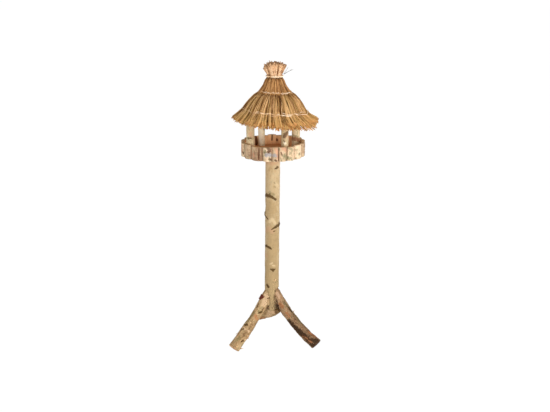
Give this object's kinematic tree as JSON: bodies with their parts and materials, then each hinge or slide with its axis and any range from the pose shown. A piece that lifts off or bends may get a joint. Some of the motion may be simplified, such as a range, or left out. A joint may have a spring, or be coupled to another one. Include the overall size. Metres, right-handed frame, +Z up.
{
  "type": "bird table",
  "caption": "Garden bird table: round tray fenced with split birch logs under a thatched reed roof, on a birch trunk with splayed branch legs.",
  "frame": {"origin": "on the ground, below the middle of the tray and near the middle of the whole object", "axes": "+Z up along the trunk, -Y towards the front, +X to the right seen from the front"},
  "size_m": [0.4788, 0.4457, 1.499],
  "materials": {
    "birch_log": "bark, matt",
    "birch_branch": "bark, matt",
    "birch_stave": "bark outside, sawn inside",
    "sawn_board": "sawn",
    "reed": "dry reed stalks",
    "straw": "dry straw",
    "straw_cord": "twisted straw cord",
    "screw_steel": "plain",
    "binding_wire": "dull galvanised wire"
  },
  "bodies": {
    "root": {"trunk": "birch_log", "leg_front_left": "birch_branch", "leg_front_right": "birch_branch", "leg_rear": "birch_branch", "leg_screws": "screw_steel", "tray_floor": "sawn_board", "tray_screws": "screw_steel", "stave_01": "birch_stave", "stave_02": "birch_stave", "stave_03": "birch_stave", "stave_04": "birch_stave", "stave_05": "birch_stave", "stave_06": "birch_stave", "stave_07": "birch_stave", "stave_08": "birch_stave", "stave_09": "birch_stave", "stave_10": "birch_stave", "stave_11": "birch_stave", "stave_12": "birch_stave", "stave_13": "birch_stave", "stave_14": "birch_stave", "stave_15": "birch_stave", "stave_16": "birch_stave", "stave_17": "birch_stave", "stave_18": "birch_stave", "stave_nails": "screw_steel", "roof_post_1": "birch_branch", "roof_post_2": "birch_branch", "roof_post_3": "birch_branch", "roof_post_4": "birch_branch", "roof_post_screws": "screw_steel", "roof_board": "sawn_board", "roof_peg": "sawn_board", "roof_peg_screw": "screw_steel", "rafters": "sawn_board", "rafter_nails": "screw_steel", "thatch_lower": "reed", "thatch_upper": "reed", "thatch_tuft": "straw", "tie_neck": "straw_cord", "tie_upper": "straw_cord", "tie_lower": "straw_cord", "neck_wire": "binding_wire"}
  },
  "joints": []
}
